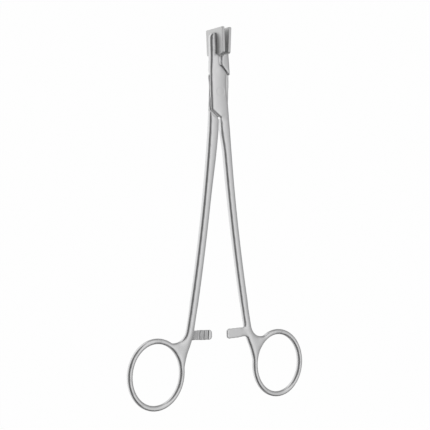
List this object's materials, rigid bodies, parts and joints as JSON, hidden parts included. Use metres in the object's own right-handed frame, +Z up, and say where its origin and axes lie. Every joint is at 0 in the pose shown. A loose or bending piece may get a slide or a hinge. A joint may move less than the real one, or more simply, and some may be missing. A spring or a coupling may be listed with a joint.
{
  "type": "gelatin sponge press forceps",
  "caption": "Ring-handled forceps with two flat press plates at its jaws, a half-lapped pin joint and a ratchet, for pressing gelatin sponge flat.",
  "frame": {"origin": "centre of the footprint, on the surface the press lies on", "axes": "+Y from the finger rings to the press plates, +Z up out of the surface, +X across the rings"},
  "size_m": [0.0986, 0.1782, 0.0144],
  "materials": {
    "satin_steel": "satin polished stainless steel",
    "plate_steel": "finely ground stainless steel"
  },
  "bodies": {
    "rear": {"rear_half": "satin_steel", "right_press_plate": "plate_steel", "joint_pin": "satin_steel"},
    "front": {"front_half": "satin_steel", "left_press_plate": "plate_steel"}
  },
  "joints": [
    {"name": "handle_hinge", "type": "hinge", "parent": "rear", "child": "front", "pos_m": [0, 0.05893, 0.00639], "axis": [0, -0.0329, 0.9995], "range_deg": [-4.7, 90]}
  ]
}
